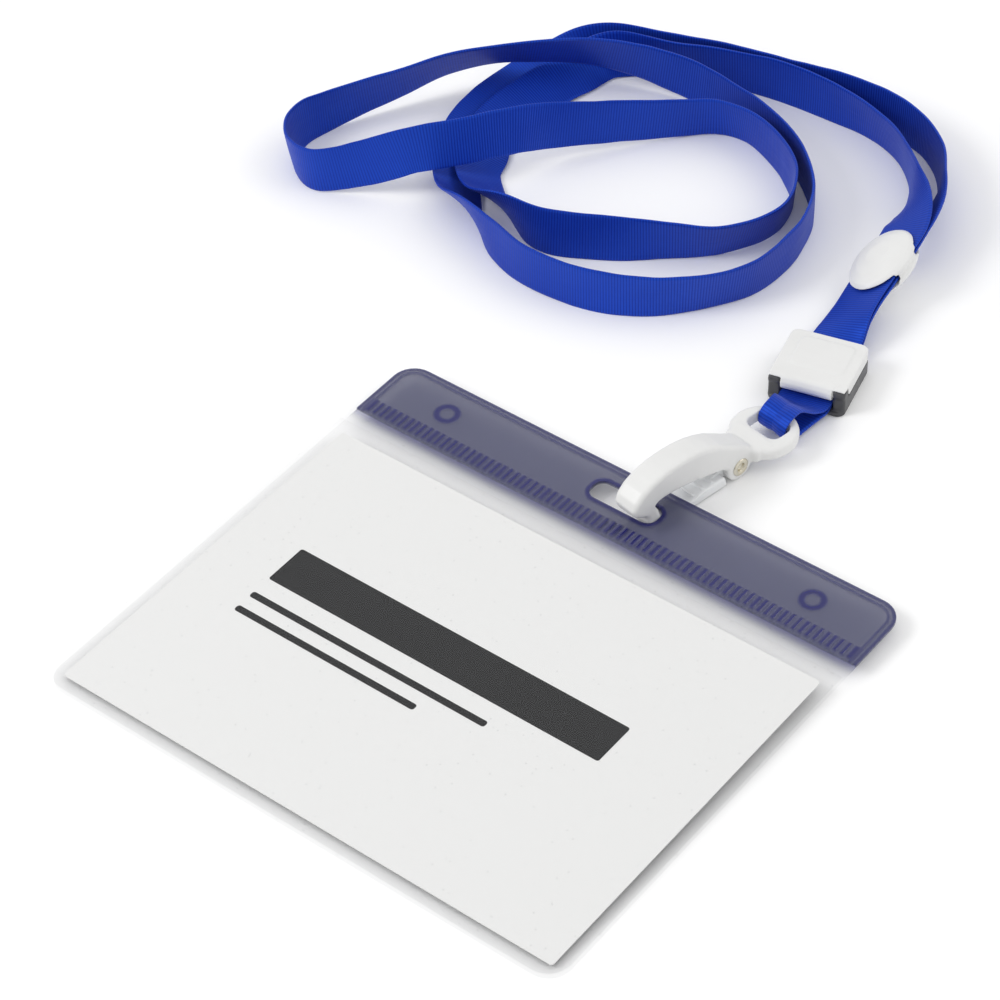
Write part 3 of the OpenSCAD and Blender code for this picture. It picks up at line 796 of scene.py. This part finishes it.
def film_waves_group():
    """Soft vinyl never lies quite flat: broad waves, and a few fine specks of dust under it."""
    group = bpy.data.node_groups.new("film_waves", "ShaderNodeTree")
    group.interface.new_socket("Specks", in_out="INPUT", socket_type="NodeSocketFloat").default_value = 0.5
    group.interface.new_socket("Waves", in_out="OUTPUT", socket_type="NodeSocketFloat")
    group.interface.new_socket("Dust", in_out="OUTPUT", socket_type="NodeSocketFloat")
    given = group.nodes.new("NodeGroupInput")
    here = group.nodes.new("ShaderNodeTexCoord").outputs["Object"]
    waves = place_node(
        group, "ShaderNodeTexNoise", {"Vector": here, "Scale": 55, "Detail": 2, "Distortion": 0.4}
    )
    cells = place_node(group, "ShaderNodeTexVoronoi", {"Vector": here, "Scale": 420})
    specks = place_node(
        group,
        "ShaderNodeMapRange",
        {"Value": cells.outputs["Distance"], "From Min": 0.10, "From Max": 0.04, "To Min": 0, "To Max": 1},
    )
    dust = place_node(
        group,
        "ShaderNodeMath",
        {0: specks.outputs["Result"], 1: given.outputs["Specks"]},
        operation="MULTIPLY",
    )
    place_node(group, "NodeGroupOutput", {"Waves": waves.outputs["Fac"], "Dust": dust.outputs["Value"]})
    return group


def clear_vinyl_film():
    """Clear vinyl: nearly nothing of its own but a grey tone and a gloss, with painted blue shade from the
    band just below it.
    """
    material, tree, shader = new_material("clear_vinyl_film", Roughness=0.12, Specular_IOR_Level=0.6)
    film = place_node(tree, "ShaderNodeGroup", {"Specks": 0.12}, node_tree=film_waves)
    here = tree.nodes.new("ShaderNodeTexCoord").outputs["Object"]
    split = place_node(tree, "ShaderNodeSeparateXYZ", {"Vector": here})
    edge_at = (holder_place @ Vector((0, band_edge * MM, 0))).y
    # Painted shade: the blue shade the band throws on the clear sheet, painted into the 2.6 mm below the
    # band's edge.
    painted_shade_reach = 0.0026
    painted_band_shade = place_node(
        tree,
        "ShaderNodeMapRange",
        {
            "Value": split.outputs["Y"],
            "From Min": edge_at - painted_shade_reach,
            "From Max": edge_at,
            "To Min": 0,
            "To Max": 1,
        },
        interpolation_type="SMOOTHSTEP",
    )
    # The grey film colour turns to a darker blue inside this painted shade.
    tint = place_node(
        tree,
        "ShaderNodeMixRGB",
        {"Fac": painted_band_shade.outputs["Result"], "Color1": colour(128, 130, 134), "Color2": colour(64, 68, 150)},
    )
    tree.links.new(tint.outputs["Color"], shader.inputs["Base Color"])
    # The film is also made more opaque inside the painted shade.
    cover = place_node(
        tree, "ShaderNodeMapRange", {"Value": painted_band_shade.outputs["Result"], "To Min": 0.03, "To Max": 0.28}
    )
    solid = place_node(
        tree, "ShaderNodeMath", {0: cover.outputs["Result"], 1: film.outputs["Dust"]}, operation="ADD"
    )
    tree.links.new(solid.outputs["Value"], shader.inputs["Alpha"])
    relief = place_node(
        tree, "ShaderNodeBump", {"Height": film.outputs["Waves"], "Strength": 0.35, "Distance": 0.001}
    )
    tree.links.new(relief.outputs["Normal"], shader.inputs["Normal"])
    return material


film_waves = film_waves_group()
clear_vinyl = clear_vinyl_film()
bm = bmesh.new()
add_prism(bm, sheet_outline(-1, band_edge), sheet_thickness, round_over=0.08)
vinyl_back = new_piece("vinyl_back", bm)
finish_mould(vinyl_back, holder_place, clear_vinyl, sharp=30)
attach(vinyl_back, "holder")
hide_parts("back_sheet")

# ---- Clear front sheet --------------------------------------------------------------------------------
# The upper sheet of the pocket. It is pressed down along a welded bead round three sides, and stands
# off the back over the card, with an open mouth below the band.
panel_under = 1.22
front_under = sheet_thickness + 0.02

bm = bmesh.new()
twice = round_corners(holder_width, 2 * mouth, corner_radius, (0, mouth), 8)
panel = bm.faces.new([bm.verts.new((x * MM, y * MM, front_under * MM)) for x, y in twice])
for inwards, rise in [(1.0, 0), (0.2, 0.1), (0.35, 0), (0.2, -0.1), (0.5, 0), (0.6, 0.5), (0.6, 0.35)]:
    bmesh.ops.inset_region(bm, faces=[panel], thickness=inwards * MM, depth=rise * MM, use_even_offset=True)
cuts_across = 24
cuts_down = 18
for k in range(1, cuts_across):
    plane = (-holder_width / 2 + k * holder_width / cuts_across) * MM
    everything = bm.verts[:] + bm.edges[:] + bm.faces[:]
    bmesh.ops.bisect_plane(bm, geom=everything, plane_co=(plane, 0, 0), plane_no=(1, 0, 0))
for k in range(1, cuts_down):
    plane = k * mouth / cuts_down * MM
    everything = bm.verts[:] + bm.edges[:] + bm.faces[:]
    bmesh.ops.bisect_plane(bm, geom=everything, plane_co=(0, plane, 0), plane_no=(0, 1, 0))
bmesh.ops.bisect_plane(
    bm,
    geom=bm.verts[:] + bm.edges[:] + bm.faces[:],
    plane_co=(0, mouth * MM, 0),
    plane_no=(0, 1, 0),
    clear_outer=True,
)
for v in bm.verts:
    if v.co.z > (panel_under - 0.1) * MM:
        v.co.z += 0.16 * MM * (0.6 + noise.noise(v.co * 40))
grown = bmesh.ops.extrude_face_region(bm, geom=bm.faces[:], use_keep_orig=True)["geom"]
bmesh.ops.translate(
    bm,
    verts=[part for part in grown if isinstance(part, bmesh.types.BMVert)],
    vec=(0, 0, (sheet_thickness - 0.02) * MM),
)
vinyl_front = new_piece("vinyl_front", bm)
finish_mould(vinyl_front, holder_place, clear_vinyl, sharp=30)
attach(vinyl_front, "holder")
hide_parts("front_sheet")

# ---- Blue band ----------------------------------------------------------------------------------------
# Two strips of smoky blue vinyl, one over the other. The welding tool leaves a ribbed strip along their
# lower edge, a double line round the rim, a bead round the punched slot and a ring near each end, and
# wherever it presses the two layers read as one dark navy.
slot_size = (14.5, 4.8)
slot_corner = 2
slot_middle = 92.4
ridge_pitch = 1.43
ridges_from = 83.9
ridges_to = 87.5
spot_weld = (40.4, 92.0)


def ease(value, start, end):
    """0 before start, 1 after end, and a smooth step between them."""
    share = min(1, max(0, (value - start) / (end - start)))
    return share * share * (3 - 2 * share)


def inside_by(x, y, width, length, radius, middle_y):
    """How far a point lies inside a rectangle with rounded corners; negative outside it."""
    dx = abs(x) - width / 2 + radius
    dy = abs(y - middle_y) - length / 2 + radius
    return radius - math.hypot(max(dx, 0), max(dy, 0)) - min(max(dx, dy), 0)


def line_at(value, at, half_width):
    return 1 - ease(abs(value - at), half_width * 0.5, half_width * 1.5)


def weld_marks(x, y):
    """The tool's marks at a point of the band: how far they stand up, and how navy they are."""
    from_rim = inside_by(x, y, holder_width, holder_height, corner_radius, holder_height / 2)
    from_slot = -inside_by(x, y, *slot_size, slot_corner, slot_middle)
    from_spot = math.hypot(abs(x) - spot_weld[0], y - spot_weld[1])
    wave = 0.5 + 0.5 * math.cos(2 * math.pi * x / ridge_pitch)
    strip = ease(y, ridges_from, ridges_from + 0.3) * (1 - ease(y, ridges_to - 0.3, ridges_to))
    strip *= ease(from_rim, 0.6, 1.2)
    ridge = strip * ease(wave, 0.15, 0.6)
    rim_line = line_at(from_rim, 0.3, 0.35)
    bead = line_at(from_rim, 1.35, 0.22)
    slot_bead = line_at(from_slot, 0.35, 0.45)
    ring = line_at(from_spot, 1.95, 0.6)
    height = 0.24 * ridge + 0.14 * bead + 0.12 * slot_bead - 0.14 * ring - 0.08 * rim_line
    ink = max(0.25 * strip + 0.75 * ridge, 0.8 * rim_line, 0.75 * bead, slot_bead, ring)
    return height, ink


def slot_cutter(spare=0.0):
    bm = bmesh.new()
    length, height = slot_size
    outline = round_corners(length + spare, height + spare, slot_corner, (0, slot_middle), 8)
    add_prism(bm, outline, 4, raised(-1))
    return bm


def smoky_blue_vinyl():
    """Translucent smoky blue, turning a deep navy that light hardly passes where it is welded."""
    material, tree, shader = new_material("smoky_blue_vinyl", Roughness=0.16, Specular_IOR_Level=0.6)
    film = place_node(tree, "ShaderNodeGroup", {"Specks": 0.0}, node_tree=film_waves)
    weld = place_node(tree, "ShaderNodeAttribute", {}, attribute_name="weld")
    tint = place_node(
        tree,
        "ShaderNodeMixRGB",
        {"Fac": weld.outputs["Fac"], "Color1": colour(104, 106, 134), "Color2": colour(32, 33, 98)},
    )
    cover = place_node(
        tree, "ShaderNodeMapRange", {"Value": weld.outputs["Fac"], "To Min": 0.45, "To Max": 0.92}
    )
    relief = place_node(
        tree, "ShaderNodeBump", {"Height": film.outputs["Waves"], "Strength": 0.3, "Distance": 0.0008}
    )
    tree.links.new(tint.outputs["Color"], shader.inputs["Base Color"])
    tree.links.new(cover.outputs["Result"], shader.inputs["Alpha"])
    tree.links.new(relief.outputs["Normal"], shader.inputs["Normal"])
    return material


def mark_welds(piece):
    """Keeps how navy each point is with the mesh, for the vinyl's colour."""
    weld = piece.data.attributes.new("weld", "FLOAT", "POINT")
    ink = [weld_marks(v.co.x / MM, v.co.y / MM)[1] for v in piece.data.vertices]
    weld.data.foreach_set("value", ink)


blue_vinyl = smoky_blue_vinyl()
band_middle = (band_edge + holder_height) / 2
band_height = holder_height - band_edge
weld_columns = 440
weld_rows = 62
bm = bmesh.new()
bmesh.ops.create_grid(bm, x_segments=weld_columns, y_segments=weld_rows, size=0.5)
bmesh.ops.scale(bm, verts=bm.verts, vec=(holder_width * MM, band_height * MM, 1))
bmesh.ops.translate(bm, verts=bm.verts, vec=(0, band_middle * MM, (sheet_thickness + 0.01) * MM))
grown = bmesh.ops.extrude_face_region(bm, geom=bm.faces[:], use_keep_orig=True)["geom"]
for v in [part for part in grown if isinstance(part, bmesh.types.BMVert)]:
    height, ink = weld_marks(v.co.x / MM, v.co.y / MM)
    v.co.z = (2 * sheet_thickness + height) * MM
band_front = new_piece("blue_band_front", bm)
bm = bmesh.new()
holder_middle = (0, holder_height / 2)
trimmed = round_corners(holder_width - 0.01, holder_height, corner_radius, holder_middle, 8)
add_prism(bm, trimmed, 4, raised(-1))
carve(band_front, bm, "INTERSECT")
carve(band_front, slot_cutter())
mark_welds(band_front)
finish_mould(band_front, holder_place, blue_vinyl, sharp=60)
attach(band_front, "holder")
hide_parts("band_front")

bm = bmesh.new()
add_prism(bm, sheet_outline(band_edge, holder_height + 1), sheet_thickness, round_over=0.08)
band_back = new_piece("blue_band_back", bm)
carve(band_back, slot_cutter(0.1))
weld = band_back.data.attributes.new("weld", "FLOAT", "POINT")
weld.data.foreach_set("value", [0.0] * len(band_back.data.vertices))
finish_mould(band_back, holder_place, blue_vinyl, sharp=30)
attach(band_back, "holder")
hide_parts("band_back")

# ---- Insert card --------------------------------------------------------------------------------------
# A sheet of white card cut to 105 by 74, slid in at the mouth. It carries a plain blank layout: a bar
# where a name goes and two ruled lines under it, printed in black.
card_size = (105, 74)
card_thickness = 0.28
card_low = 2.7
card_under = 0.82

paper, tree, shader = new_material("white_card", Roughness=0.75, Specular_IOR_Level=0.3)
here = tree.nodes.new("ShaderNodeTexCoord").outputs["Object"]
fibres = place_node(tree, "ShaderNodeTexNoise", {"Vector": here, "Scale": 1400, "Detail": 4})
pulp = place_node(
    tree,
    "ShaderNodeMixRGB",
    {"Fac": fibres.outputs["Fac"], "Color1": colour(236, 236, 235), "Color2": colour(231, 231, 230)},
)
nap = place_node(
    tree, "ShaderNodeBump", {"Height": fibres.outputs["Fac"], "Strength": 0.2, "Distance": 0.00004}
)
tree.links.new(pulp.outputs["Color"], shader.inputs["Base Color"])
tree.links.new(nap.outputs["Normal"], shader.inputs["Normal"])
bm = bmesh.new()
card_middle = card_low + card_size[1] / 2
add_prism(bm, round_corners(*card_size, 0.6, (0, card_middle)), card_thickness, raised(card_under))
card = new_piece("paper_card", bm)
finish_mould(card, holder_place, paper, sharp=30)
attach(card, "card")
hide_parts("insert_card")

ink_film, tree, shader = new_material("black_ink", Roughness=0.5)
here = tree.nodes.new("ShaderNodeTexCoord").outputs["Object"]
mottle = place_node(tree, "ShaderNodeTexNoise", {"Vector": here, "Scale": 700, "Detail": 3})
black = place_node(
    tree,
    "ShaderNodeMixRGB",
    {"Fac": mottle.outputs["Fac"], "Color1": colour(8, 8, 9), "Color2": colour(20, 20, 21)},
)
tree.links.new(black.outputs["Color"], shader.inputs["Base Color"])
bm = bmesh.new()
on_card = raised(card_under + card_thickness)
for length, height, middle in [(72, 9, (-3, 45)), (52, 1.4, (-13, 36)), (40, 1.4, (-19, 32))]:
    add_prism(bm, round_corners(length, height, 0.5, middle), 0.02, on_card)
print_bars = new_piece("card_print", bm)
finish_mould(print_bars, holder_place, ink_film, sharp=30)
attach(print_bars, "card")

# ---- Floor and light ----------------------------------------------------------------------------------
# A plain, almost white table top, lit evenly from all round, with one soft light at the near left and a
# weaker, larger one at the far right.
bm = bmesh.new()
bmesh.ops.create_grid(bm, x_segments=1, y_segments=1, size=1.5)
floor = new_piece("floor", bm)
table, tree, shader = new_material("pale_table", Roughness=0.8, Specular_IOR_Level=0.1)
shader.inputs["Base Color"].default_value = colour(252, 252, 252)
floor.data.materials.append(table)

world = bpy.data.worlds.new("studio")
world.use_nodes = True
world.node_tree.nodes["Background"].inputs["Color"].default_value = (1, 1, 1, 1)
world.node_tree.nodes["Background"].inputs["Strength"].default_value = 0.84
bpy.context.scene.world = world
bpy.context.scene.view_settings.view_transform = "Standard"


def soft_light(name, place, power, size):
    light = bpy.data.lights.new(name, "AREA")
    light.energy = power
    light.shape = "DISK"
    light.size = size
    lamp = bpy.data.objects.new(name, light)
    lamp.location = place
    lamp.rotation_euler = (-Vector(place)).to_track_quat("-Z", "Y").to_euler()
    bpy.context.scene.collection.objects.link(lamp)


soft_light("key_light", (-0.55, -0.6, 0.7), 3.5, 0.45)
soft_light("fill_light", (0.6, 0.6, 0.8), 1.8, 0.9)
